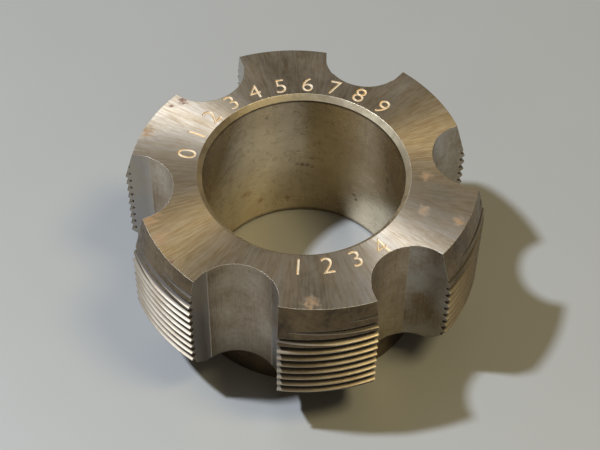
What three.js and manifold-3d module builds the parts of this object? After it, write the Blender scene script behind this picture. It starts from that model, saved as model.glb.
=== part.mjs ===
import * as THREE from 'three';
import { mergeVertices } from 'three/addons/utils/BufferGeometryUtils.js';
import Module from 'manifold-3d';

// Thread-cutting ring (hollow tap) for a 36 mm x 24 threads-per-inch bore.
// One ground piece of tool steel: a fluted, threaded crown standing on a plain hub,
// with a plain pilot bore right through both. Millimetres, +Z up, the hub's
// seat face on Z = 0 and the bore's axis on Z. The lead face is the top.

// ---- driving sizes ------------------------------------------------------

const MM_PER_INCH = 25.4;

// Body
const CROWN_DIAMETER = 36;      // major diameter of the thread
const CROWN_HEIGHT = 14.1;      // underside of the crown to the lead face
const HUB_DIAMETER = 25;
const HUB_HEIGHT = 3.9;         // seat face to the underside of the crown
const BORE_DIAMETER = 20;
const BORE_CHAMFER = 0.5;       // 45 degrees, at the lead face
const BORE_FOOT_CHAMFER = 0.2;  // 45 degrees, at the seat face

// Thread, right hand; its form is set as shares of the pitch
const THREADS_PER_INCH = 24;
const THREAD_DEPTH_PER_PITCH = 0.567;
const THREAD_CREST_PER_PITCH = 0.113;
const THREAD_FLANK_ANGLE = 30;  // degrees, each side
const THREAD_PHASE = 0.2;       // height of a crest above the seat face, on the +X side

// Lead end: a taper from the lead face down to the full thread, ground so that
// it falls away behind each cutting edge
const LEAD_FACE_DROP = 0.91;    // below the major radius, at the cutting edge
const LEAD_TAPER_ANGLE = 15;    // degrees from the axis
const LEAD_RELIEF = 0.52;       // further drop from the cutting edge to the heel

// Back end
const BACK_CHAMFER = 2;         // 45 degrees, under the last thread

// Flutes
const FLUTE_COUNT = 6;
const FLUTE_GULLET_RADIUS = 4;
const FLUTE_FLOOR_RADIUS = 12.84;   // axis to the deepest point of the gullet
const FLUTE_FLOOR_WIDTH = 0.15;     // flat between the two halves of the gullet
const FLUTE_FLANK_ANGLE = 17;       // degrees each flank opens from the radius
const FIRST_FLUTE_ANGLE = 8;        // degrees, centre of the flute nearest +X
const CUTTING_EDGE_ANGLE = 14;      // degrees from a flute's centre back to its cutting edge

// Facets
const SEGMENTS_PER_TURN = 60;
const GULLET_STEPS = 7;

// ---- derived sizes ------------------------------------------------------

const OVERALL_HEIGHT = HUB_HEIGHT + CROWN_HEIGHT;
const MAJOR_RADIUS = CROWN_DIAMETER / 2;
const HUB_RADIUS = HUB_DIAMETER / 2;
const BORE_RADIUS = BORE_DIAMETER / 2;
const THREAD_PITCH = MM_PER_INCH / THREADS_PER_INCH;
const THREAD_DEPTH = THREAD_DEPTH_PER_PITCH * THREAD_PITCH;
const THREAD_CREST_FLAT = THREAD_CREST_PER_PITCH * THREAD_PITCH;
const ROOT_RADIUS = MAJOR_RADIUS - THREAD_DEPTH;
const FLUTE_SPACING = 360 / FLUTE_COUNT;
const FLUTE_CENTRE_RADIUS = FLUTE_FLOOR_RADIUS + FLUTE_GULLET_RADIUS;

// How far a cutting body runs past the metal it cuts
const OVERRUN = 2;
// How far the thread ridge is rooted below the core's surface
const RIDGE_ROOTING = 0.05;
// Whole turns of ridge made past each end of the crown, then trimmed off
const SPARE_TURNS = 1;
// Vertices nearer than this are one vertex
const MERGE_DISTANCE = 1e-5;

const wasm = await Module();
wasm.setup();

// ---- small helpers ------------------------------------------------------

function radians(degrees) {
  return degrees * Math.PI / 180;
}

function solidFrom(geometry) {
  const bare = geometry.clone();
  bare.deleteAttribute('normal');
  bare.deleteAttribute('uv');
  const merged = mergeVertices(bare, MERGE_DISTANCE);
  return new wasm.Manifold(new wasm.Mesh({
    numProp: 3,
    vertProperties: new Float32Array(merged.attributes.position.array),
    triVerts: new Uint32Array(merged.index.array),
  }));
}

function geometryFrom(solid) {
  const mesh = solid.getMesh();
  const geometry = new THREE.BufferGeometry();
  geometry.setAttribute('position', new THREE.BufferAttribute(new Float32Array(mesh.vertProperties), 3));
  geometry.setIndex(new THREE.BufferAttribute(new Uint32Array(mesh.triVerts), 1));
  geometry.computeVertexNormals();
  return geometry;
}

// A closed skin over rings of points that all have the same count. Rings run
// along the body; an open body gets a flat cap on its first and last ring.
function skinOver(rings, loops) {
  const count = rings[0].length;
  const positions = rings.flat(2);
  const indices = [];
  const last = rings.length - 1;
  const spans = loops ? rings.length : last;
  for (let i = 0; i < spans; i += 1) {
    const here = i * count;
    const next = ((i + 1) % rings.length) * count;
    for (let j = 0; j < count; j += 1) {
      const k = (j + 1) % count;
      indices.push(here + j, here + k, next + k);
      indices.push(here + j, next + k, next + j);
    }
  }
  if (!loops) {
    for (let j = 1; j < count - 1; j += 1) {
      indices.push(0, j + 1, j);
      indices.push(last * count, last * count + j, last * count + j + 1);
    }
  }
  const geometry = new THREE.BufferGeometry();
  geometry.setAttribute('position', new THREE.Float32BufferAttribute(positions, 3));
  geometry.setIndex(indices);
  return geometry;
}

function polar(radius, degrees, z) {
  const angle = radians(degrees);
  return [radius * Math.cos(angle), radius * Math.sin(angle), z];
}

// A body turned about Z from [radius, z] points listed from the foot up
function turned(points) {
  const outline = points.map(([radius, z]) => new THREE.Vector2(radius, z));
  const geometry = new THREE.LatheGeometry(outline, SEGMENTS_PER_TURN);
  geometry.rotateX(Math.PI / 2);
  return solidFrom(geometry);
}

// ---- thread -------------------------------------------------------------

// One long helical ridge of trapezoid section, rooted in the core
function threadRidge() {
  const slope = Math.tan(radians(THREAD_FLANK_ANGLE));
  const crestHalf = THREAD_CREST_FLAT / 2;
  const footRadius = ROOT_RADIUS - RIDGE_ROOTING;
  const footHalf = crestHalf + (MAJOR_RADIUS - footRadius) * slope;
  const step = 360 / SEGMENTS_PER_TURN;
  const turns = Math.ceil(CROWN_HEIGHT / THREAD_PITCH) + 2 * SPARE_TURNS;
  const startAngle = 360 * (Math.floor((HUB_HEIGHT - THREAD_PHASE) / THREAD_PITCH) - SPARE_TURNS);
  const rings = [];
  for (let i = 0; i <= turns * SEGMENTS_PER_TURN; i += 1) {
    const angle = startAngle + i * step;
    const z = THREAD_PHASE + THREAD_PITCH * angle / 360;
    rings.push([
      polar(footRadius, angle, z - footHalf),
      polar(footRadius, angle, z + footHalf),
      polar(MAJOR_RADIUS, angle, z + crestHalf),
      polar(MAJOR_RADIUS, angle, z - crestHalf),
    ]);
  }
  return solidFrom(skinOver(rings, false));
}

// How far round its land an angle lies: 0 at the cutting edge, 1 at the heel
function reliefShare(degrees) {
  const turned = degrees - FIRST_FLUTE_ANGLE;
  const fromFlute = ((turned % FLUTE_SPACING) + FLUTE_SPACING) % FLUTE_SPACING;
  const landSpan = FLUTE_SPACING - 2 * CUTTING_EDGE_ANGLE;
  return (FLUTE_SPACING - CUTTING_EDGE_ANGLE - fromFlute) / landSpan;
}

// The outer limit of the crown: back chamfer, room for the thread and lead
// taper, the taper falling away behind each cutting edge
function crownEnvelope() {
  const step = 360 / SEGMENTS_PER_TURN;
  const blankRadius = MAJOR_RADIUS + OVERRUN;
  const taper = Math.tan(radians(LEAD_TAPER_ANGLE));
  const rings = [];
  for (let i = 0; i < SEGMENTS_PER_TURN; i += 1) {
    const degrees = FIRST_FLUTE_ANGLE + i * step;
    const faceRadius = MAJOR_RADIUS - LEAD_FACE_DROP - LEAD_RELIEF * reliefShare(degrees);
    rings.push([
      polar(faceRadius, degrees, OVERALL_HEIGHT),
      polar(blankRadius, degrees, OVERALL_HEIGHT - (blankRadius - faceRadius) / taper),
      polar(blankRadius, degrees, HUB_HEIGHT + BACK_CHAMFER + OVERRUN),
      polar(MAJOR_RADIUS - BACK_CHAMFER, degrees, HUB_HEIGHT),
      polar(0, 0, HUB_HEIGHT),
      polar(0, 0, OVERALL_HEIGHT),
    ]);
  }
  return solidFrom(skinOver(rings, true));
}

// ---- flutes -------------------------------------------------------------

// Section of one flute with its centre line on +X: a round gullet with a
// narrow flat floor and two straight flanks that leave it tangentially
function fluteOutline() {
  const lean = radians(FLUTE_FLANK_ANGLE);
  const quarter = Math.PI / 2 - lean;
  const half = [];
  for (let i = 0; i <= GULLET_STEPS; i += 1) {
    const angle = quarter * i / GULLET_STEPS;
    half.push([
      FLUTE_CENTRE_RADIUS - FLUTE_GULLET_RADIUS * Math.cos(angle),
      FLUTE_GULLET_RADIUS * Math.sin(angle),
    ]);
  }
  const [flankX, flankY] = half[half.length - 1];
  const mouthX = MAJOR_RADIUS + OVERRUN;
  half.push([mouthX, flankY + (mouthX - flankX) * Math.tan(lean)]);
  const heelSide = half.map(([x, y]) => new THREE.Vector2(x, y + FLUTE_FLOOR_WIDTH));
  const rakeSide = half.map(([x, y]) => new THREE.Vector2(x, -y));
  return new THREE.Shape([...heelSide.reverse(), ...rakeSide]);
}

function flute(index) {
  const geometry = new THREE.ExtrudeGeometry(fluteOutline(), {
    depth: CROWN_HEIGHT + 2 * OVERRUN,
    bevelEnabled: false,
  });
  geometry.translate(0, 0, HUB_HEIGHT - OVERRUN);
  geometry.rotateZ(radians(FIRST_FLUTE_ANGLE + index * FLUTE_SPACING));
  return solidFrom(geometry);
}

// ---- assembly -----------------------------------------------------------

const core = turned([
  [0, HUB_HEIGHT - OVERRUN],
  [ROOT_RADIUS, HUB_HEIGHT - OVERRUN],
  [ROOT_RADIUS, OVERALL_HEIGHT + OVERRUN],
  [0, OVERALL_HEIGHT + OVERRUN],
]);

let crown = core.add(threadRidge()).intersect(crownEnvelope());
for (let i = 0; i < FLUTE_COUNT; i += 1) {
  crown = crown.subtract(flute(i));
}

const hub = turned([
  [0, 0],
  [HUB_RADIUS, 0],
  [HUB_RADIUS, HUB_HEIGHT + OVERRUN],
  [0, HUB_HEIGHT + OVERRUN],
]);

const bore = turned([
  [0, -OVERRUN],
  [BORE_RADIUS + BORE_FOOT_CHAMFER + OVERRUN, -OVERRUN],
  [BORE_RADIUS, BORE_FOOT_CHAMFER],
  [BORE_RADIUS, OVERALL_HEIGHT - BORE_CHAMFER],
  [BORE_RADIUS + BORE_CHAMFER + OVERRUN, OVERALL_HEIGHT + OVERRUN],
  [0, OVERALL_HEIGHT + OVERRUN],
]);

const ring = crown.add(hub).subtract(bore);

const toolSteel = new THREE.MeshStandardMaterial({ color: 0x857c6e, metalness: 0.9, roughness: 0.4 });
toolSteel.name = 'tool_steel';

const tapRing = new THREE.Mesh(geometryFrom(ring), toolSteel);
tapRing.name = 'tap_ring';

const part = new THREE.Group();
part.name = 'thread_cutting_ring';
part.add(tapRing);

export default part;
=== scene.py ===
import math

import bmesh
import bpy
from bpy.props import FloatProperty, FloatVectorProperty, IntProperty, PointerProperty
from mathutils import Matrix, Vector
from mathutils.geometry import intersect_point_line


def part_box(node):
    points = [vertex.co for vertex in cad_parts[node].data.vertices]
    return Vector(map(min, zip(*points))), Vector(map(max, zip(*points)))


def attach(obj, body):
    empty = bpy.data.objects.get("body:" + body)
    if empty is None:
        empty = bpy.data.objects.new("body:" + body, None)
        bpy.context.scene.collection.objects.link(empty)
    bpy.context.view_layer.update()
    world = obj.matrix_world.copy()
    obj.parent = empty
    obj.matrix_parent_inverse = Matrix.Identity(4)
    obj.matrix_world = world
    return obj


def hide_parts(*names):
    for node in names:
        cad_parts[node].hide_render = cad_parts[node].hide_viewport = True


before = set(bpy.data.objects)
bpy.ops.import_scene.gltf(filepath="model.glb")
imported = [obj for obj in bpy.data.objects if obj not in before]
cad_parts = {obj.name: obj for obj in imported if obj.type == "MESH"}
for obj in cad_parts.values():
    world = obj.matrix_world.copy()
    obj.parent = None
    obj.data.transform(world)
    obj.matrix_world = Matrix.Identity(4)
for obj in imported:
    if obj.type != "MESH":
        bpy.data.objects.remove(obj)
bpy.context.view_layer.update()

bl_info = {
    "name": "Thread-cutting ring",
    "version": (1, 0, 0),
    "blender": (4, 5, 0),
    "location": "3D View > Sidebar > Ring",
    "description": "Builds a hollow thread tap ring in worn tool steel, and the stage it stands on",
    "category": "Object",
}

RING_NODE = "tap_ring"
RING_BODY = "root"

MM = 0.001
INCH = 25.4 * MM

LOW_CORNER, HIGH_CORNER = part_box(RING_NODE)
OVERALL_HEIGHT = HIGH_CORNER[2] - LOW_CORNER[2]
CROWN_DIAMETER = max(HIGH_CORNER[0] - LOW_CORNER[0], HIGH_CORNER[1] - LOW_CORNER[1])

# How far a cutting body runs past the metal that it cuts
OVERRUN = 2 * MM
# How far the thread ridge is rooted below the core's surface
RIDGE_ROOTING = 0.05 * MM
# Points nearer than this are one point
MERGE_DISTANCE = 0.002 * MM
# Corners at least this steep are shaded as sharp
SHARP_ANGLE = math.radians(24)
Z_AXIS = Vector((0, 0, 1))
FULL_TURN = 2 * math.pi

# Plain index figures struck in the lead face
BACK_FIGURES = "0123456789"
FRONT_FIGURES = "1234"
# The height of a figure as a share of its font's size
FIGURE_SHARE_OF_SIZE = 0.7

# The ring's surfaces, each with a finish of its own, in the order of its material slots
SURFACES = ("thread", "lead_face", "lead_cone", "underside", "gullet", "rake_face", "heel_face",
            "hub", "bore", "bore_chamfer", "marks")


def surface(name):
    """The material slot of one of the ring's surfaces."""
    return SURFACES.index(name)


# ---- sizes and finishes that a user would change ------------------------------------------


def length(name, description, default):
    return FloatProperty(name=name, description=description, default=default, subtype="DISTANCE",
                         unit="LENGTH", min=0.0, precision=5)


def angle(name, description, degrees):
    return FloatProperty(name=name, description=description, default=math.radians(degrees),
                         subtype="ANGLE", unit="ROTATION")


def share(name, description, default):
    return FloatProperty(name=name, description=description, default=default, subtype="FACTOR",
                         min=0.0, max=1.0)


def tint(name, description, default):
    return FloatVectorProperty(name=name, description=description, default=default, subtype="COLOR",
                               min=0.0, max=1.0)


class RingSizes(bpy.types.PropertyGroup):
    overall_height: length("Overall height", "Seat face to lead face", OVERALL_HEIGHT)
    crown_diameter: length("Crown diameter", "Major diameter of the thread", CROWN_DIAMETER)
    hub_diameter: length("Hub diameter", "Outside of the plain hub", 25 * MM)
    hub_height: length("Hub height", "Seat face to the underside of the crown", 3.9 * MM)
    bore_diameter: length("Bore diameter", "Pilot bore, right through", 20 * MM)
    bore_chamfer: length("Bore chamfer", "45 degrees, at the lead face", 0.5 * MM)
    foot_chamfer: length("Foot chamfer", "45 degrees, at the seat face", 0.2 * MM)
    threads_per_inch: IntProperty(name="Threads per inch", description="Right hand", default=24, min=1)
    depth_per_pitch: share("Thread depth", "Share of the pitch", 0.567)
    crest_per_pitch: share("Crest flat", "Share of the pitch", 0.113)
    flank_angle: angle("Flank angle", "Each side of the thread", 30)
    thread_phase: length("Thread phase", "Height of a crest above the seat face on the +X side", 0.2 * MM)
    lead_face_drop: length("Lead drop", "Below the major radius at the cutting edge", 0.91 * MM)
    lead_taper: angle("Lead taper", "Slope of the lead cone from the axis", 15)
    lead_relief: length("Lead relief", "Further drop from cutting edge to heel", 0.52 * MM)
    back_chamfer: length("Back chamfer", "45 degrees, under the last thread", 2 * MM)
    flute_count: IntProperty(name="Flutes", description="Flutes round the crown", default=6, min=3)
    gullet_radius: length("Gullet radius", "Round bottom of a flute", 4 * MM)
    flute_floor: length("Flute floor", "Axis to the deepest point of a gullet", 12.84 * MM)
    floor_width: length("Floor width", "Flat between the halves of a gullet", 0.15 * MM)
    flute_flank: angle("Flute flank", "How far a flank opens from the radius", 17)
    first_flute: angle("First flute", "Centre of the flute nearest +X", 8)
    cutting_edge: angle("Cutting edge", "A flute's centre back to its cutting edge", 14)
    rake_start: angle("Rake strip start", "Where on the gullet the ground rake strip begins", 62)
    rake_step: length("Rake step", "How much deeper the rake strip is ground", 0.06 * MM)
    heel_start: angle("Heel strip start", "Where on the gullet the second heel cut begins", 33)
    heel_step: length("Heel step", "How much the heel cut stands off the gullet", 0.07 * MM)
    figure_height: length("Figure height", "Struck figures on the lead face", 1.9 * MM)
    figure_radius: length("Figure radius", "Axis to the foot of the figures", 10.85 * MM)
    figure_depth: length("Figure depth", "How deep the figures are struck", 0.1 * MM)
    figure_thinning: length("Figure thinning", "Taken off each side of a stroke", 0.015 * MM)
    figure_spacing: angle("Figure spacing", "Between neighbouring figures", 13.5)
    back_figures: angle("Back figures", "Where the first of the back figures stands", 170)
    front_figures: angle("Front figures", "Where the first of the front figures stands", -92)
    facets: IntProperty(name="Facets per turn", description="Smoothness of round surfaces",
                        default=180, min=24)
    gullet_facets: IntProperty(name="Gullet facets", description="Facets on half a gullet",
                               default=24, min=4)


class RingFinish(bpy.types.PropertyGroup):
    steel: tint("Steel", "Bare ground tool steel", (0.45, 0.385, 0.30))
    brown: tint("Brown film", "Thin oxide film on old steel", (0.23, 0.165, 0.095))
    grey: tint("Grey steel", "Freshly ground rake faces", (0.42, 0.395, 0.37))
    # Also painted shade: the thread roots, the foot of the bore, the lead cone, the underside and the hub
    # are darkened towards this colour.
    dark: tint("Dark shade and film", "Soot, old oil and painted shade in corners and under the crown", (0.07, 0.055, 0.04))
    # Painted highlight: the struck figures are coloured gold for the glints in their stroke walls.
    mark_glint: tint("Struck marks", "Painted gold highlight in the struck figures", (0.86, 0.64, 0.36))
    dark_rust: tint("Dark rust", "Old red-brown rust on the lead edge", (0.13, 0.045, 0.025))
    rust: tint("Rust", "Orange rust spots", (0.30, 0.165, 0.07))
    honed: tint("Honed bore", "Smooth bore under a thin yellow film", (0.68, 0.58, 0.41))
    # Rubbed wear and painted glint: edges are lightened towards this colour, and the struck figures'
    # painted highlight goes towards it.
    rubbed_glint: tint("Worn and glinting edge", "Rubbed bright metal and painted glint on edges", (0.75, 0.70, 0.62))


class StageSettings(bpy.types.PropertyGroup):
    floor_colour: tint("Floor", "Pale floor", (0.37, 0.37, 0.36))
    key_power: FloatProperty(name="Key power", description="Small white lamp on the left",
                             default=4.4, unit="POWER", min=0.0)
    fill_power: FloatProperty(name="Fill power", description="Large warm lamp in front",
                              default=1.04, unit="POWER", min=0.0)
    key_colour: tint("Key colour", "Colour of the key lamp", (0.80, 0.88, 1.0))
    fill_colour: tint("Fill colour", "Colour of the fill lamp", (1.0, 0.84, 0.46))
    room_colour: tint("Room colour", "Light from all round", (1.0, 0.90, 0.72))
    room_strength: FloatProperty(name="Room strength", description="Brightness of the room",
                                 default=0.13, min=0.0)


# ---- mesh helpers --------------------------------------------------------------------------


def polar(radius, turn, z):
    return Vector((radius * math.cos(turn), radius * math.sin(turn), z))


def body_from(mesh_maker, name):
    """An object whose closed mesh was made in a bmesh, with its faces pointing out."""
    bm = bmesh.new()
    mesh_maker(bm)
    bmesh.ops.remove_doubles(bm, verts=bm.verts, dist=MERGE_DISTANCE)
    bmesh.ops.recalc_face_normals(bm, faces=bm.faces)
    if bm.calc_volume(signed=True) < 0:
        bmesh.ops.reverse_faces(bm, faces=bm.faces)
    mesh = bpy.data.meshes.new(name)
    bm.to_mesh(mesh)
    bm.free()
    body = bpy.data.objects.new(name, mesh)
    bpy.context.scene.collection.objects.link(body)
    for surface_name in SURFACES:
        mesh.materials.append(bpy.data.materials[surface_name])
    return body


def gap_to(spot, foot, head):
    """How far spot is from the straight line between foot and head."""
    nearest, along = intersect_point_line(spot, foot, head)
    return (nearest.xy - spot).length + max(0.0, -along, along - 1) * (head - foot).length


def turned_body(name, points, surfaces, facets, start=0.0, shape=None):
    """A body of revolution from (radius, z) points that start and end on the axis.
    surfaces names the finish of each stretch between two points."""
    def make(bm):
        verts = [bm.verts.new(polar(radius, start, z)) for radius, z in points]
        edges = [bm.edges.new(pair) for pair in zip(verts, verts[1:])]
        bmesh.ops.spin(bm, geom=verts + edges, cent=(0, 0, 0), axis=Z_AXIS, angle=FULL_TURN,
                       steps=facets, use_merge=True)
        bands = [(Vector(foot), Vector(head), surface(named))
                 for foot, head, named in zip(points, points[1:], surfaces)]
        for face in bm.faces:
            middle = face.calc_center_median()
            spot = Vector((middle.xy.length, middle.z))
            face.material_index = min(bands, key=lambda band: gap_to(spot, band[0], band[1]))[2]
        if shape:
            shape(bm)
    return body_from(make, name)


def cut(body, tool, operation):
    """Joins or cuts body with tool and takes the tool away."""
    step = body.modifiers.new("cut", "BOOLEAN")
    step.operation = operation
    step.object = tool
    step.solver = "MANIFOLD"
    step.material_mode = "INDEX"
    graph = bpy.context.evaluated_depsgraph_get()
    done = bpy.data.meshes.new_from_object(body.evaluated_get(graph), depsgraph=graph)
    if not done.polygons:
        raise RuntimeError("nothing is left of " + body.name + " after " + tool.name)
    body.modifiers.clear()
    old = body.data
    body.data = done
    bpy.data.meshes.remove(old)
    spent = tool.data
    bpy.data.objects.remove(tool)
    bpy.data.meshes.remove(spent)


def clean(body):
    """Merges the slivers that cutting leaves behind, and checks that the body is still closed."""
    bm = bmesh.new()
    bm.from_mesh(body.data)
    bmesh.ops.remove_doubles(bm, verts=bm.verts, dist=MERGE_DISTANCE)
    bmesh.ops.dissolve_degenerate(bm, edges=bm.edges, dist=MERGE_DISTANCE)
    open_edges = sum(1 for edge in bm.edges if not (edge.is_manifold and edge.is_contiguous))
    volume = bm.calc_volume(signed=True)
    bm.to_mesh(body.data)
    bm.free()
    if open_edges or volume <= 0:
        raise RuntimeError(f"{body.name} has {open_edges} open or twisted edges")


# ---- the ring ------------------------------------------------------------------------------


def thread_ridge(sizes):
    """One long helical ridge of trapezoid section, rooted in the core."""
    pitch = INCH / sizes.threads_per_inch
    major = sizes.crown_diameter / 2
    foot = major - sizes.depth_per_pitch * pitch - RIDGE_ROOTING
    crest_half = sizes.crest_per_pitch * pitch / 2
    foot_half = crest_half + (major - foot) * math.tan(sizes.flank_angle)
    crown_height = sizes.overall_height - sizes.hub_height
    turns = math.ceil(crown_height / pitch) + 2
    first = math.floor((sizes.hub_height - sizes.thread_phase) / pitch) - 1
    z = sizes.thread_phase + first * pitch
    section = ((foot, z - foot_half), (foot, z + foot_half),
               (major, z + crest_half), (major, z - crest_half))

    def make(bm):
        verts = [bm.verts.new((radius, 0, height)) for radius, height in section]
        edges = [bm.edges.new(pair) for pair in zip(verts, verts[1:] + verts[:1])]
        bmesh.ops.spin(bm, geom=verts + edges, cent=(0, 0, 0), axis=Z_AXIS,
                       dvec=(0, 0, pitch / sizes.facets), angle=FULL_TURN, steps=sizes.facets)
        one_turn = bm.verts[:] + bm.edges[:] + bm.faces[:]
        for turn in range(1, turns):
            copy = bmesh.ops.duplicate(bm, geom=one_turn)
            lifted = [item for item in copy["geom"] if isinstance(item, bmesh.types.BMVert)]
            bmesh.ops.translate(bm, verts=lifted, vec=(0, 0, turn * pitch))
        bmesh.ops.remove_doubles(bm, verts=bm.verts, dist=MERGE_DISTANCE)
        bmesh.ops.holes_fill(bm, edges=bm.edges, sides=len(section))
        for face in bm.faces:
            face.material_index = surface("thread")
    return body_from(make, "ridge")


def crown_limit(sizes):
    """The crown's outer limit: back chamfer, room for the thread, and the lead taper, which
    falls away behind each cutting edge."""
    major = sizes.crown_diameter / 2
    blank = major + OVERRUN
    face_radius = major - sizes.lead_face_drop
    top = sizes.overall_height
    taper_foot = top - (blank - face_radius) / math.tan(sizes.lead_taper)
    points = ((0, sizes.hub_height), (major - sizes.back_chamfer, sizes.hub_height),
              (blank, sizes.hub_height + sizes.back_chamfer + OVERRUN), (blank, taper_foot),
              (face_radius, top), (0, top))
    surfaces = ("underside", "underside", "thread", "lead_cone", "lead_face")
    spacing = FULL_TURN / sizes.flute_count
    land = spacing - 2 * sizes.cutting_edge

    def relieve(bm):
        for vert in bm.verts:
            radius = vert.co.xy.length
            if vert.co.z > taper_foot - OVERRUN / 2 and radius > OVERRUN:
                past_flute = (math.atan2(vert.co.y, vert.co.x) - sizes.first_flute) % spacing
                fall = (spacing - sizes.cutting_edge - past_flute) / land
                drop = sizes.lead_relief * fall
                vert.co.x *= 1 - drop / radius
                vert.co.y *= 1 - drop / radius
    return turned_body("limit", points, surfaces, sizes.facets, start=sizes.first_flute, shape=relieve)


def flute_half(sizes, strip_start, strip_step):
    """Half of a flute's section, from the middle of its floor out: the round gullet, then a
    strip cut again from strip_start on, a step further out, and its straight flank."""
    centre = sizes.flute_floor + sizes.gullet_radius
    end = math.pi / 2 - sizes.flute_flank
    points = []
    for i in range(sizes.gullet_facets + 1):
        turn = strip_start * i / sizes.gullet_facets
        points.append((centre - sizes.gullet_radius * math.cos(turn), sizes.gullet_radius * math.sin(turn)))
    wide = sizes.gullet_radius + strip_step
    for i in range(sizes.gullet_facets + 1):
        turn = strip_start + (end - strip_start) * i / sizes.gullet_facets
        points.append((centre - wide * math.cos(turn), wide * math.sin(turn)))
    last_x, last_y = points[-1]
    mouth = sizes.crown_diameter / 2 + OVERRUN
    points.append((mouth, last_y + (mouth - last_x) * math.tan(sizes.flute_flank)))
    return points


def flute_cutter(sizes, index):
    """The body that cuts one flute."""
    heel = [(x, y + sizes.floor_width) for x, y in flute_half(sizes, sizes.heel_start, sizes.heel_step)]
    rake = [(x, -y) for x, y in flute_half(sizes, sizes.rake_start, sizes.rake_step)]
    outline = heel[::-1] + rake
    turn = sizes.first_flute + index * FULL_TURN / sizes.flute_count
    foot = sizes.hub_height - OVERRUN
    gullet_points = sizes.gullet_facets + 1

    def make(bm):
        verts = [bm.verts.new((x, y, foot)) for x, y in outline]
        floor = bm.faces.new(verts)
        raised = bmesh.ops.extrude_face_region(bm, geom=[floor], use_keep_orig=True)
        tops = [item for item in raised["geom"] if isinstance(item, bmesh.types.BMVert)]
        bmesh.ops.translate(bm, verts=tops, vec=(0, 0, sizes.overall_height - foot + OVERRUN))
        heel_x, heel_y = heel[gullet_points]
        rake_x, rake_y = rake[gullet_points]
        for face in bm.faces:
            middle = face.calc_center_median()
            name = "gullet"
            if middle.y > 0 and math.atan2(middle.y, sizes.flute_floor + sizes.gullet_radius - middle.x) \
                    > math.atan2(heel_y, sizes.flute_floor + sizes.gullet_radius - heel_x):
                name = "heel_face"
            if middle.y < 0 and math.atan2(-middle.y, sizes.flute_floor + sizes.gullet_radius - middle.x) \
                    > math.atan2(-rake_y, sizes.flute_floor + sizes.gullet_radius - rake_x):
                name = "rake_face"
            face.material_index = surface(name)
        bmesh.ops.rotate(bm, verts=bm.verts, cent=(0, 0, 0), matrix=Matrix.Rotation(turn, 3, "Z"))
    return body_from(make, "flute")


def figure_cutter(sizes, figure, turn, head_out):
    """The body that strikes one figure into the lead face, its head towards the rim or the bore."""
    text = bpy.data.curves.new("figure", "FONT")
    text.body = figure
    text.size = sizes.figure_height / FIGURE_SHARE_OF_SIZE
    text.align_x = "CENTER"
    text.offset = -sizes.figure_thinning
    text.extrude = sizes.figure_depth
    text.resolution_u = 6
    holder = bpy.data.objects.new("figure", text)
    flat = bpy.data.meshes.new_from_object(holder)
    bpy.data.objects.remove(holder)
    if head_out:
        foot = sizes.figure_radius
        upright = Matrix.Rotation(turn - math.pi / 2, 4, "Z")
    else:
        foot = sizes.figure_radius + sizes.figure_height
        upright = Matrix.Rotation(turn + math.pi / 2, 4, "Z")
    stand = Matrix.Translation(polar(foot, turn, sizes.overall_height))

    def make(bm):
        bm.from_mesh(flat)
        bmesh.ops.transform(bm, matrix=stand @ upright, verts=bm.verts)
        for face in bm.faces:
            face.material_index = surface("marks")
            face.smooth = False
    return body_from(make, "figure")


def strike_figures(sizes, ring):
    """Plain figures struck round the back of the face, heads out, and at its front, heads in."""
    for index, figure in enumerate(BACK_FIGURES):
        turn = sizes.back_figures - index * sizes.figure_spacing
        cut(ring, figure_cutter(sizes, figure, turn, head_out=True), "DIFFERENCE")
    for index, figure in enumerate(FRONT_FIGURES):
        turn = sizes.front_figures + index * sizes.figure_spacing
        cut(ring, figure_cutter(sizes, figure, turn, head_out=False), "DIFFERENCE")


def ring_mesh(sizes):
    """The whole ring as one closed body."""
    major = sizes.crown_diameter / 2
    pitch = INCH / sizes.threads_per_inch
    root = major - sizes.depth_per_pitch * pitch
    top = sizes.overall_height
    crown_foot = sizes.hub_height
    bore = sizes.bore_diameter / 2
    ring = turned_body("steel_ring", (
        (0, crown_foot - OVERRUN), (root, crown_foot - OVERRUN), (root, top + OVERRUN), (0, top + OVERRUN),
    ), ("underside", "thread", "lead_face"), sizes.facets)
    cut(ring, thread_ridge(sizes), "UNION")
    cut(ring, crown_limit(sizes), "INTERSECT")
    for index in range(sizes.flute_count):
        cut(ring, flute_cutter(sizes, index), "DIFFERENCE")
    hub_radius = sizes.hub_diameter / 2
    cut(ring, turned_body("hub_blank", (
        (0, 0), (hub_radius, 0), (hub_radius, crown_foot + OVERRUN), (0, crown_foot + OVERRUN),
    ), ("hub", "hub", "hub"), sizes.facets), "UNION")
    cut(ring, turned_body("bore_cutter", (
        (0, -OVERRUN), (bore + sizes.foot_chamfer + OVERRUN, -OVERRUN), (bore, sizes.foot_chamfer),
        (bore, top - sizes.bore_chamfer), (bore + sizes.bore_chamfer + OVERRUN, top + OVERRUN),
        (0, top + OVERRUN),
    ), ("bore", "bore_chamfer", "bore", "bore_chamfer", "bore"), sizes.facets), "DIFFERENCE")
    strike_figures(sizes, ring)
    clean(ring)
    return ring


# ---- shader nodes --------------------------------------------------------------------------


def add(tree, kind, inputs=None, **settings):
    """One shader node with its settings and its unlinked inputs."""
    node = tree.nodes.new(kind)
    for key, value in settings.items():
        setattr(node, key, value)
    for key, value in (inputs or {}).items():
        if isinstance(value, bpy.types.NodeSocket):
            tree.links.new(value, node.inputs[key])
        else:
            node.inputs[key].default_value = value
    return node


def maths(tree, operation, *values, clamp=False):
    node = add(tree, "ShaderNodeMath", dict(enumerate(values)), operation=operation, use_clamp=clamp)
    return node.outputs[0]


def ramp(tree, value, low, high, start=0.0, end=1.0):
    """value taken from low..high to start..end, held at the ends."""
    node = add(tree, "ShaderNodeMapRange", {"Value": value, "From Min": low, "From Max": high,
                                            "To Min": start, "To Max": end}, clamp=True)
    return node.outputs["Result"]


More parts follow.
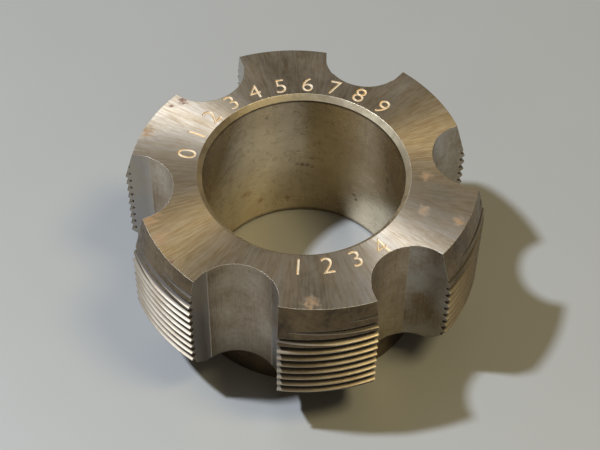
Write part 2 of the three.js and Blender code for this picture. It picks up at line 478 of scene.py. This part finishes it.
def blend(tree, share_of, first, second):
    """Colour first, going over to second as share_of goes to one."""
    node = add(tree, "ShaderNodeMix", data_type="RGBA")
    for key, value in (("Factor", share_of), ("A", first), ("B", second)):
        socket = next(s for s in node.inputs if s.name == key and s.enabled and s.type in ("RGBA", "VALUE")
                      and (s.type == "RGBA") == (key != "Factor"))
        if isinstance(value, bpy.types.NodeSocket):
            tree.links.new(value, socket)
        else:
            socket.default_value = value
    return next(s for s in node.outputs if s.type == "RGBA")


def rgba(colour):
    return (*colour, 1.0)


def node_group(name, inputs, outputs):
    """An empty shader node group with named inputs and outputs."""
    group = bpy.data.node_groups.new(name, "ShaderNodeTree")
    for label, kind, default in inputs:
        socket = group.interface.new_socket(label, in_out="INPUT", socket_type=kind)
        if default is not None:
            socket.default_value = default
    for label, kind in outputs:
        group.interface.new_socket(label, in_out="OUTPUT", socket_type=kind)
    return group, group.nodes.new("NodeGroupInput").outputs, group.nodes.new("NodeGroupOutput").inputs


def placed(tree, group, inputs):
    """A node group placed in a material, with its own values."""
    node = tree.nodes.new("ShaderNodeGroup")
    node.node_tree = group
    for key, value in inputs.items():
        if isinstance(value, bpy.types.NodeSocket):
            tree.links.new(value, node.inputs[key])
        else:
            node.inputs[key].default_value = value
    return node.outputs


def make_grind_group():
    """Grinding lines on a turned part: how fast the pattern changes around, outwards and upwards."""
    group, given, out = node_group("Grinding lines", [
        ("Vector", "NodeSocketVector", None), ("Around", "NodeSocketFloat", 10.0),
        ("Outwards", "NodeSocketFloat", 0.2), ("Upwards", "NodeSocketFloat", 0.2),
        ("Detail", "NodeSocketFloat", 3.0)],
        [("Lines", "NodeSocketFloat"), ("Radius", "NodeSocketFloat")])
    parts = add(group, "ShaderNodeSeparateXYZ", {0: given["Vector"]}).outputs
    flat = add(group, "ShaderNodeCombineXYZ", {"X": parts["X"], "Y": parts["Y"]}).outputs[0]
    radius = add(group, "ShaderNodeVectorMath", {0: flat}, operation="LENGTH").outputs["Value"]
    unit = add(group, "ShaderNodeVectorMath", {0: flat}, operation="NORMALIZE").outputs["Vector"]
    around = add(group, "ShaderNodeVectorMath", {0: unit, "Scale": given["Around"]},
                 operation="SCALE").outputs["Vector"]
    out_part = maths(group, "MULTIPLY", radius, maths(group, "DIVIDE", given["Outwards"], MM))
    up_part = maths(group, "MULTIPLY", parts["Z"], maths(group, "DIVIDE", given["Upwards"], MM))
    lift = add(group, "ShaderNodeCombineXYZ", {"Z": maths(group, "ADD", out_part, up_part)}).outputs[0]
    place = add(group, "ShaderNodeVectorMath", {0: around, 1: lift}, operation="ADD").outputs["Vector"]
    noise = add(group, "ShaderNodeTexNoise", {"Vector": place, "Scale": 1.0, "Detail": given["Detail"],
                                              "Roughness": 0.6})
    group.links.new(noise.outputs["Fac"], out["Lines"])
    group.links.new(radius, out["Radius"])
    return group


def make_film_group():
    """Blotches of oxide film: soft clouds broken up by a finer mottle."""
    group, given, out = node_group("Oxide film", [
        ("Vector", "NodeSocketVector", None), ("Clouds per mm", "NodeSocketFloat", 0.2),
        ("Low", "NodeSocketFloat", 0.4), ("High", "NodeSocketFloat", 0.7)],
        [("Mask", "NodeSocketFloat"), ("Mottle", "NodeSocketFloat")])
    scale = maths(group, "DIVIDE", given["Clouds per mm"], MM)
    clouds = add(group, "ShaderNodeTexNoise", {"Vector": given["Vector"], "Scale": scale, "Detail": 4.0,
                                               "Roughness": 0.55})
    fine = add(group, "ShaderNodeTexNoise", {"Vector": given["Vector"],
                                             "Scale": maths(group, "MULTIPLY", scale, 9.0),
                                             "Detail": 3.0, "Roughness": 0.65})
    mixed = maths(group, "ADD", maths(group, "MULTIPLY", clouds.outputs["Fac"], 0.72),
                  maths(group, "MULTIPLY", fine.outputs["Fac"], 0.28))
    mask = add(group, "ShaderNodeMapRange", {"Value": mixed, "From Min": given["Low"],
                                             "From Max": given["High"]}, clamp=True)
    group.links.new(mask.outputs["Result"], out["Mask"])
    group.links.new(fine.outputs["Fac"], out["Mottle"])
    return group


def make_edge_group():
    """Edges: a mask where the metal turns a corner, used for rubbed wear and a painted glint, and the
    normal of the rounded corner.
    """
    group, given, out = node_group("Rubbed and glinting edges", [
        ("Radius", "NodeSocketFloat", 0.05 * MM), ("Reach", "NodeSocketFloat", 0.2)],
        [("Mask", "NodeSocketFloat"), ("Normal", "NodeSocketVector")])
    rounded = add(group, "ShaderNodeBevel", {"Radius": given["Radius"]}, samples=6)
    flat = add(group, "ShaderNodeNewGeometry")
    along = add(group, "ShaderNodeVectorMath", {0: rounded.outputs["Normal"], 1: flat.outputs["Normal"]},
                operation="DOT_PRODUCT")
    turned_away = maths(group, "SUBTRACT", 1.0, along.outputs["Value"])
    mask = add(group, "ShaderNodeMapRange", {"Value": turned_away, "From Min": 0.01,
                                             "From Max": given["Reach"]}, clamp=True)
    group.links.new(mask.outputs["Result"], out["Mask"])
    group.links.new(rounded.outputs["Normal"], out["Normal"])
    return group


# How fast the marks left by cutting change along X, Y and Z, in turns per mm
UPRIGHT_LINES = (6.0, 6.0, 0.25)
ALL_WAYS_LINES = (1.5, 1.5, 1.5)
TURNING_LINES = (0.4, 0.4, 5.0)

# Rust on the lead face by land: degrees from its middle, then inset from the crown's rim,
# drop below the lead face and size in mm
ORANGE_PLACES = ((2, 5, 1.5, 0, 1.5), (3, -15, 2, 0, 2), (3, -5, 2, 0, 1.5), (4, -5, 2, 0, 1.5),
                 (5, 0, 2, 0, 1), (5, 0, 5.5, 0, 1), (5, 20, 6, 0, 1))
DARK_PLACES = ((3, 5, 1, 0, 1), (3, 10, 0.5, 0, 1), (2, -15, 2.5, 0, 1), (2, -10, 2, 0, 0.5),
               (4, -5, 1, 1, 1))
# Spots on the bore wall: degrees round the ring, height above the seat face and size in mm
BORE_RUST_PLACES = ((58, 13.7, 0.6), (128, 5.0, 1.1), (118, 3.0, 0.9), (140, 9.0, 0.8), (100, 2.2, 0.8))
BORE_DARK_PLACES = ((94, 7.7, 0.45), (91, 7.6, 0.5), (88, 7.5, 0.5), (85, 7.35, 0.4), (57, 4.6, 0.45),
                    (55.5, 4.0, 0.4), (113, 15.6, 0.4), (30, 11.0, 0.6), (32, 12.5, 0.6), (30, 9.6, 0.5))


def land_spots(sizes, places):
    """Centres and sizes of spots on the lands, counted from the land after the first flute."""
    between = FULL_TURN / sizes.flute_count
    return [(polar(sizes.crown_diameter / 2 - inset * MM,
                   sizes.first_flute + (land + 0.5) * between + math.radians(degrees),
                   sizes.overall_height - drop * MM), size * MM)
            for land, degrees, inset, drop, size in places]


def bore_spots(sizes, places):
    """Centres and sizes of spots on the bore wall."""
    return [(polar(sizes.bore_diameter / 2, math.radians(degrees), height * MM), size * MM)
            for degrees, height, size in places]


def make_rust_group(name, spot_list):
    """Small rust spots at chosen places, with ragged outlines."""
    group, given, out = node_group(name, [
        ("Vector", "NodeSocketVector", None), ("Raggedness", "NodeSocketFloat", 1.0)],
        [("Mask", "NodeSocketFloat")])
    ragged = add(group, "ShaderNodeTexNoise", {"Vector": given["Vector"], "Scale": 2.0 / MM, "Detail": 4.0,
                                               "Roughness": 0.7})
    spots = None
    for centre, size in spot_list:
        away = add(group, "ShaderNodeVectorMath", {0: given["Vector"], 1: centre}, operation="DISTANCE")
        spot = ramp(group, away.outputs["Value"], 0.0, size, 1.0, 0.0)
        spots = spot if spots is None else maths(group, "MAXIMUM", spots, spot)
    mixed = maths(group, "ADD", spots, maths(group, "MULTIPLY", maths(
        group, "SUBTRACT", ragged.outputs["Fac"], 0.5), given["Raggedness"]))
    gated = maths(group, "MULTIPLY", ramp(group, mixed, 0.35, 0.9), ramp(group, spots, 0.0, 0.5))
    group.links.new(gated, out["Mask"])
    return group


def steel(name):
    """A new metal material: its tree, its shader and the object's coordinates."""
    material = bpy.data.materials.new(name)
    material.use_nodes = True
    tree = material.node_tree
    shader = tree.nodes["Principled BSDF"]
    shader.inputs["Metallic"].default_value = 1.0
    place = add(tree, "ShaderNodeTexCoord").outputs["Object"]
    return material, tree, shader, place


def stretched(tree, place, x, y, z):
    node = add(tree, "ShaderNodeMapping", {"Vector": place, "Scale": (x / MM, y / MM, z / MM)})
    return node.outputs["Vector"]


def finish_surface(tree, shader, colour, roughness, height, depth, normal=None):
    """Links a surface's colour, roughness and relief to its shader."""
    tree.links.new(colour, shader.inputs["Base Color"])
    tree.links.new(roughness, shader.inputs["Roughness"])
    bump = add(tree, "ShaderNodeBump", {"Height": height, "Distance": depth, "Strength": 1.0})
    if normal is not None:
        tree.links.new(normal, bump.inputs["Normal"])
    tree.links.new(bump.outputs["Normal"], shader.inputs["Normal"])


def lead_face_steel(finish, groups):
    """Face ground across the radius: radial lines, brown film in clouds, rust by the rim."""
    material, tree, shader, place = steel("lead_face")
    lines = placed(tree, groups["grind"], {"Vector": place, "Around": 60.0, "Outwards": 0.5,
                                            "Upwards": 0.0, "Detail": 4.0})["Lines"]
    broad = placed(tree, groups["grind"], {"Vector": place, "Around": 13.0, "Outwards": 0.10,
                                            "Upwards": 0.0, "Detail": 3.0})["Lines"]
    film = placed(tree, groups["film"], {"Vector": place, "Clouds per mm": 0.22, "Low": 0.40,
                                          "High": 0.66})
    edges = placed(tree, groups["edge"], {"Radius": 0.06 * MM, "Reach": 0.12})
    rust = placed(tree, groups["rust"], {"Vector": place, "Raggedness": 2.4})["Mask"]
    old_rust = placed(tree, groups["dark_rust"], {"Vector": place, "Raggedness": 2.4})["Mask"]
    colour = blend(tree, ramp(tree, lines, 0.34, 0.64, 0.15, 0.85), rgba(finish.brown), rgba(finish.steel))
    colour = blend(tree, ramp(tree, film["Mask"], 0.0, 1.0, 0.0, 0.55), colour, rgba(finish.brown))
    colour = blend(tree, ramp(tree, broad, 0.45, 0.75, 0.0, 0.35), colour, rgba(finish.grey))
    colour = blend(tree, maths(tree, "MULTIPLY", rust, 0.65), colour, rgba(finish.rust))
    colour = blend(tree, maths(tree, "MULTIPLY", old_rust, 0.85), colour, rgba(finish.dark_rust))
    # Rubbed edges, partly painted glint: the face is lightened where the metal turns a corner.
    colour = blend(tree, maths(tree, "MULTIPLY", edges["Mask"], 0.5), colour, rgba(finish.rubbed_glint))
    any_rust = maths(tree, "MAXIMUM", rust, old_rust)
    roughness = maths(tree, "ADD", ramp(tree, lines, 0.35, 0.65, 0.50, 0.43),
                      maths(tree, "MULTIPLY", any_rust, 0.3), clamp=True)
    bare = maths(tree, "SUBTRACT", ramp(tree, film["Mask"], 0.0, 1.0, 0.88, 0.66),
                 maths(tree, "MULTIPLY", any_rust, 0.5), clamp=True)
    tree.links.new(bare, shader.inputs["Metallic"])
    finish_surface(tree, shader, colour, roughness, maths(tree, "ADD", lines, maths(
        tree, "MULTIPLY", broad, 0.5)), 0.03 * MM, edges["Normal"])
    shader.inputs["Anisotropic"].default_value = 0.88
    around = add(tree, "ShaderNodeTangent", direction_type="RADIAL", axis="Z")
    tree.links.new(around.outputs["Tangent"], shader.inputs["Tangent"])
    return material


def flat_steel(name, finish, groups, first, second, scale, clouds, rough, depth, rubbed_glint_share=0.7, radius=0.05,
               low=0.4, high=0.66, metallic=0.95):
    """A cut surface: lines of the cutter's pass by scale, two colours in clouds, rubbed edges lightened
    with a painted glint.
    """
    material, tree, shader, place = steel(name)
    shader.inputs["Metallic"].default_value = metallic
    lines = add(tree, "ShaderNodeTexNoise", {"Vector": stretched(tree, place, *scale), "Scale": 1.0,
                                             "Detail": 4.0, "Roughness": 0.6}).outputs["Fac"]
    film = placed(tree, groups["film"], {"Vector": place, "Clouds per mm": clouds, "Low": low,
                                          "High": high})
    edges = placed(tree, groups["edge"], {"Radius": radius * MM, "Reach": 0.12})
    colour = blend(tree, maths(tree, "MULTIPLY", film["Mask"], ramp(tree, lines, 0.3, 0.6, 0.55, 1.0)),
                   rgba(first), rgba(second))
    # Rubbed edges, partly painted glint: the surface is lightened where the metal turns a corner.
    colour = blend(tree, maths(tree, "MULTIPLY", edges["Mask"], rubbed_glint_share), colour, rgba(finish.rubbed_glint))
    roughness = ramp(tree, film["Mottle"], 0.3, 0.7, rough - 0.06, rough + 0.08)
    finish_surface(tree, shader, colour, roughness, maths(tree, "ADD", lines, maths(
        tree, "MULTIPLY", film["Mottle"], 0.4)), depth * MM, edges["Normal"])
    return material


def thread_steel(finish, sizes, groups):
    """Ground thread: bright flanks, with painted shade darkening the roots."""
    material, tree, shader, place = steel("thread")
    lines = placed(tree, groups["grind"], {"Vector": place, "Around": 6.0, "Outwards": 9.0,
                                            "Upwards": 4.0, "Detail": 3.0})
    film = placed(tree, groups["film"], {"Vector": place, "Clouds per mm": 0.3, "Low": 0.42, "High": 0.66})
    edges = placed(tree, groups["edge"], {"Radius": 0.03 * MM, "Reach": 0.12})
    pitch = INCH / sizes.threads_per_inch
    crest = sizes.crown_diameter / 2
    root = crest - sizes.depth_per_pitch * pitch
    depth = crest - root
    # Painted shade: the thread is darkened, rougher and less metallic towards its roots, where the flanks
    # lie in shadow.
    root_shade = ramp(tree, lines["Radius"], root + 0.45 * depth, root + 0.9 * depth, 1.0, 0.0)
    colour = blend(tree, ramp(tree, film["Mask"], 0.0, 1.0, 0.1, 0.7), rgba(finish.steel),
                   rgba(finish.brown))
    colour = blend(tree, root_shade, colour, rgba(finish.dark))
    # Rubbed edges, partly painted glint: the thread is lightened where the metal turns a corner.
    colour = blend(tree, maths(tree, "MULTIPLY", edges["Mask"], 0.6), colour, rgba(finish.rubbed_glint))
    roughness = ramp(tree, root_shade, 0.0, 1.0, 0.36, 0.6)
    tree.links.new(ramp(tree, root_shade, 0.0, 1.0, 1.0, 0.3), shader.inputs["Metallic"])
    finish_surface(tree, shader, colour, roughness, lines["Lines"], 0.006 * MM, edges["Normal"])
    return material


def bore_steel(finish, sizes, groups):
    """Honed bore: fine lines round the wall under a thin yellow-brown film, with a few darker streaks."""
    material, tree, shader, place = steel("bore")
    lines = placed(tree, groups["grind"], {"Vector": place, "Around": 2.5, "Outwards": 0.0,
                                            "Upwards": 7.0, "Detail": 3.0})["Lines"]
    streaks = placed(tree, groups["grind"], {"Vector": place, "Around": 12.0, "Outwards": 0.0,
                                              "Upwards": 0.12, "Detail": 3.0})["Lines"]
    film = placed(tree, groups["film"], {"Vector": place, "Clouds per mm": 0.13, "Low": 0.42,
                                          "High": 0.64})
    edges = placed(tree, groups["edge"], {"Radius": 0.05 * MM, "Reach": 0.12})
    colour = blend(tree, ramp(tree, film["Mask"], 0.0, 1.0, 0.05, 0.45), rgba(finish.honed),
                   rgba(finish.brown))
    colour = blend(tree, ramp(tree, streaks, 0.55, 0.8, 0.0, 0.25), colour, rgba(finish.dark))
    height = add(tree, "ShaderNodeSeparateXYZ", {0: place}).outputs["Z"]
    mouth = sizes.overall_height - sizes.bore_chamfer
    # Darker in a band just under the chamfer, and painted shade at the foot of the bore, where the wall
    # meets the floor.
    chamfer_band_and_foot_shade = maths(tree, "MAXIMUM", ramp(tree, height, mouth - 0.35 * MM, mouth - 0.15 * MM),
                  ramp(tree, height, 0.2 * MM, 0.7 * MM, 1.0, 0.0))
    colour = blend(tree, maths(tree, "MULTIPLY", chamfer_band_and_foot_shade, 0.85), colour, rgba(finish.dark))
    for name, strength, spot_colour in (("bore_rust", 0.6, finish.rust), ("bore_dark", 0.8, finish.dark)):
        spots = placed(tree, groups[name], {"Vector": place, "Raggedness": 1.6})["Mask"]
        colour = blend(tree, maths(tree, "MULTIPLY", spots, strength), colour, rgba(spot_colour))
    roughness = ramp(tree, maths(tree, "ADD", film["Mottle"], lines), 0.7, 1.3, 0.22, 0.29)
    finish_surface(tree, shader, colour, roughness, lines, 0.003 * MM, edges["Normal"])
    shader.inputs["Anisotropic"].default_value = 0.96
    shader.inputs["Anisotropic Rotation"].default_value = 0.25
    around = add(tree, "ShaderNodeTangent", direction_type="RADIAL", axis="Z")
    tree.links.new(around.outputs["Tangent"], shader.inputs["Tangent"])
    return material


def ring_materials(finish, sizes):
    """One finish for each of the ring's surfaces."""
    groups = {"grind": make_grind_group(), "film": make_film_group(), "edge": make_edge_group(),
              "rust": make_rust_group("Rust spots", land_spots(sizes, ORANGE_PLACES)),
              "dark_rust": make_rust_group("Dark rust spots", land_spots(sizes, DARK_PLACES)),
              "bore_rust": make_rust_group("Bore rust spots", bore_spots(sizes, BORE_RUST_PLACES)),
              "bore_dark": make_rust_group("Bore dark spots", bore_spots(sizes, BORE_DARK_PLACES))}
    thread_steel(finish, sizes, groups)
    lead_face_steel(finish, groups)
    # Painted shade: the lead cone is coloured brown going to dark, for the dark floor that it mirrors.
    flat_steel("lead_cone", finish, groups, finish.brown, finish.dark, ALL_WAYS_LINES, 0.25, 0.40, 0.008)
    # Painted shade: the underside is coloured brown going to dark, for the shade under the crown.
    flat_steel("underside", finish, groups, finish.brown, finish.dark, ALL_WAYS_LINES, 0.2, 0.45, 0.01)
    flat_steel("gullet", finish, groups, finish.steel, finish.brown, UPRIGHT_LINES, 0.25, 0.42, 0.03,
               low=0.34, high=0.7)
    flat_steel("rake_face", finish, groups, finish.grey, finish.steel, UPRIGHT_LINES, 0.2, 0.36, 0.006)
    flat_steel("heel_face", finish, groups, finish.grey, finish.brown, UPRIGHT_LINES, 0.3, 0.38, 0.012)
    # Painted shade: the hub is coloured brown going to dark, more of it dark, for the shade under the
    # crown.
    flat_steel("hub", finish, groups, finish.brown, finish.dark, TURNING_LINES, 0.2, 0.42, 0.008,
               low=0.25, high=0.6)
    bore_steel(finish, sizes, groups)
    flat_steel("bore_chamfer", finish, groups, finish.honed, finish.brown, ALL_WAYS_LINES, 0.25, 0.40,
               0.006, low=0.42, high=0.7)
    # Painted highlight: the struck figures are coloured gold going to bright for the glints in their stroke
    # walls.
    flat_steel("marks", finish, groups, finish.mark_glint, finish.rubbed_glint, ALL_WAYS_LINES, 0.3, 0.45, 0.006,
               metallic=0.55)


def shade(ring):
    """Smooth shading, with the real corners kept sharp."""
    mesh = ring.data
    for face in mesh.polygons:
        face.use_smooth = True
    mesh.set_sharp_from_angle(angle=SHARP_ANGLE)


class RING_OT_cutter(bpy.types.Operator):
    """Make the fluted, threaded ring with its hub and bore"""
    bl_idname = "ring.cutter"
    bl_label = "Thread-cutting ring"
    bl_options = {"REGISTER", "UNDO"}

    def execute(self, context):
        ring_materials(context.scene.ring_finish, context.scene.ring_sizes)
        ring = ring_mesh(context.scene.ring_sizes)
        shade(ring)
        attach(ring, RING_BODY)
        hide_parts(RING_NODE)
        return {"FINISHED"}


# ---- stage ---------------------------------------------------------------------------------

# The camera stands in front of the ring and looks down on it
CAMERA_DISTANCE = 166.9 * MM
CAMERA_ELEVATION = math.radians(53.0)
CAMERA_AIM = Vector((-0.32, 0.51, 9.0)) * MM
CAMERA_ROLL = math.radians(0.81)
CAMERA_LENS = 93.7
CAMERA_AZIMUTH = math.radians(-90)
NEAREST_SEEN = 0.01

# Lamps, in metres and round the ring
KEY_SIZE = 0.04
KEY_DISTANCE = 0.6
KEY_AZIMUTH = math.radians(177)
KEY_ELEVATION = math.radians(61)
FILL_SIZE = 0.14
FILL_DISTANCE = 0.5
FILL_AZIMUTH = math.radians(-20)
FILL_ELEVATION = math.radians(65)

FLOOR_RADIUS = 1.5
FLOOR_SIDES = 96
FLOOR_CLOUDS = 60.0
FLOOR_DARKER_SHARE = 0.94


def towards(place, aim, roll=0.0):
    """Where an object stands and how it is turned to look at aim."""
    look = (aim - place).to_track_quat("-Z", "Y")
    return Matrix.Translation(place) @ look.to_matrix().to_4x4() @ Matrix.Rotation(roll, 4, "Z")


def on_sphere(distance, azimuth, elevation):
    return distance * Vector((math.cos(azimuth) * math.cos(elevation),
                              math.sin(azimuth) * math.cos(elevation), math.sin(elevation)))


def add_lamp(name, place, size, power, colour):
    lamp = bpy.data.lights.new(name, "AREA")
    lamp.shape = "DISK"
    lamp.size = size
    lamp.energy = power
    lamp.color = colour
    holder = bpy.data.objects.new(name, lamp)
    holder.matrix_world = towards(place, Vector((0, 0, OVERALL_HEIGHT / 2)))
    bpy.context.scene.collection.objects.link(holder)


def add_floor(colour):
    bm = bmesh.new()
    bmesh.ops.create_circle(bm, cap_ends=True, segments=FLOOR_SIDES, radius=FLOOR_RADIUS)
    mesh = bpy.data.meshes.new("floor")
    bm.to_mesh(mesh)
    bm.free()
    floor = bpy.data.objects.new("floor", mesh)
    bpy.context.scene.collection.objects.link(floor)
    material = bpy.data.materials.new("pale_floor")
    material.use_nodes = True
    tree = material.node_tree
    shader = tree.nodes["Principled BSDF"]
    place = add(tree, "ShaderNodeTexCoord").outputs["Object"]
    cloud = add(tree, "ShaderNodeTexNoise", {"Vector": place, "Scale": FLOOR_CLOUDS,
                                             "Detail": 4.0}).outputs["Fac"]
    darker = tuple(FLOOR_DARKER_SHARE * part for part in colour)
    tree.links.new(blend(tree, cloud, rgba(darker), rgba(colour)), shader.inputs["Base Color"])
    shader.inputs["Roughness"].default_value = 0.5
    shader.inputs["Metallic"].default_value = 0.25
    mesh.materials.append(material)


class RING_OT_stage(bpy.types.Operator):
    """Make the pale floor, the lamps and the camera"""
    bl_idname = "ring.stage"
    bl_label = "Stage"
    bl_options = {"REGISTER", "UNDO"}

    def execute(self, context):
        scene = context.scene
        settings = scene.ring_stage
        add_floor(settings.floor_colour)
        add_lamp("key_lamp", on_sphere(KEY_DISTANCE, KEY_AZIMUTH, KEY_ELEVATION), KEY_SIZE,
                 settings.key_power, settings.key_colour)
        add_lamp("fill_lamp", on_sphere(FILL_DISTANCE, FILL_AZIMUTH, FILL_ELEVATION), FILL_SIZE,
                 settings.fill_power, settings.fill_colour)
        world = bpy.data.worlds.new("room")
        world.use_nodes = True
        background = world.node_tree.nodes["Background"]
        background.inputs["Color"].default_value = rgba(settings.room_colour)
        background.inputs["Strength"].default_value = settings.room_strength
        scene.world = world
        lens = bpy.data.cameras.new("camera")
        lens.lens = CAMERA_LENS
        lens.clip_start = NEAREST_SEEN
        camera = bpy.data.objects.new("camera", lens)
        camera.matrix_world = towards(on_sphere(CAMERA_DISTANCE, CAMERA_AZIMUTH, CAMERA_ELEVATION),
                                      CAMERA_AIM, CAMERA_ROLL)
        scene.collection.objects.link(camera)
        scene.camera = camera
        scene.view_settings.view_transform = "Standard"
        return {"FINISHED"}


class RING_PT_panel(bpy.types.Panel):
    """The ring's pieces and settings"""
    bl_label = "Thread-cutting ring"
    bl_idname = "RING_PT_panel"
    bl_space_type = "VIEW_3D"
    bl_region_type = "UI"
    bl_category = "Ring"

    def draw(self, context):
        layout = self.layout
        for operator in OPERATORS:
            layout.operator(operator.bl_idname)
        for settings in (context.scene.ring_sizes, context.scene.ring_finish, context.scene.ring_stage):
            box = layout.box()
            for name in settings.bl_rna.properties.keys():
                if name not in ("rna_type", "name"):
                    box.prop(settings, name)


OPERATORS = (RING_OT_cutter, RING_OT_stage)
CLASSES = (RingSizes, RingFinish, StageSettings, *OPERATORS, RING_PT_panel)


def register():
    for cls in CLASSES:
        bpy.utils.register_class(cls)
    bpy.types.Scene.ring_sizes = PointerProperty(type=RingSizes)
    bpy.types.Scene.ring_finish = PointerProperty(type=RingFinish)
    bpy.types.Scene.ring_stage = PointerProperty(type=StageSettings)


def unregister():
    del bpy.types.Scene.ring_stage
    del bpy.types.Scene.ring_finish
    del bpy.types.Scene.ring_sizes
    for cls in reversed(CLASSES):
        bpy.utils.unregister_class(cls)


def main():
    register()
    bpy.ops.ring.cutter()
    bpy.ops.ring.stage()


if __name__ == "__main__":
    main()
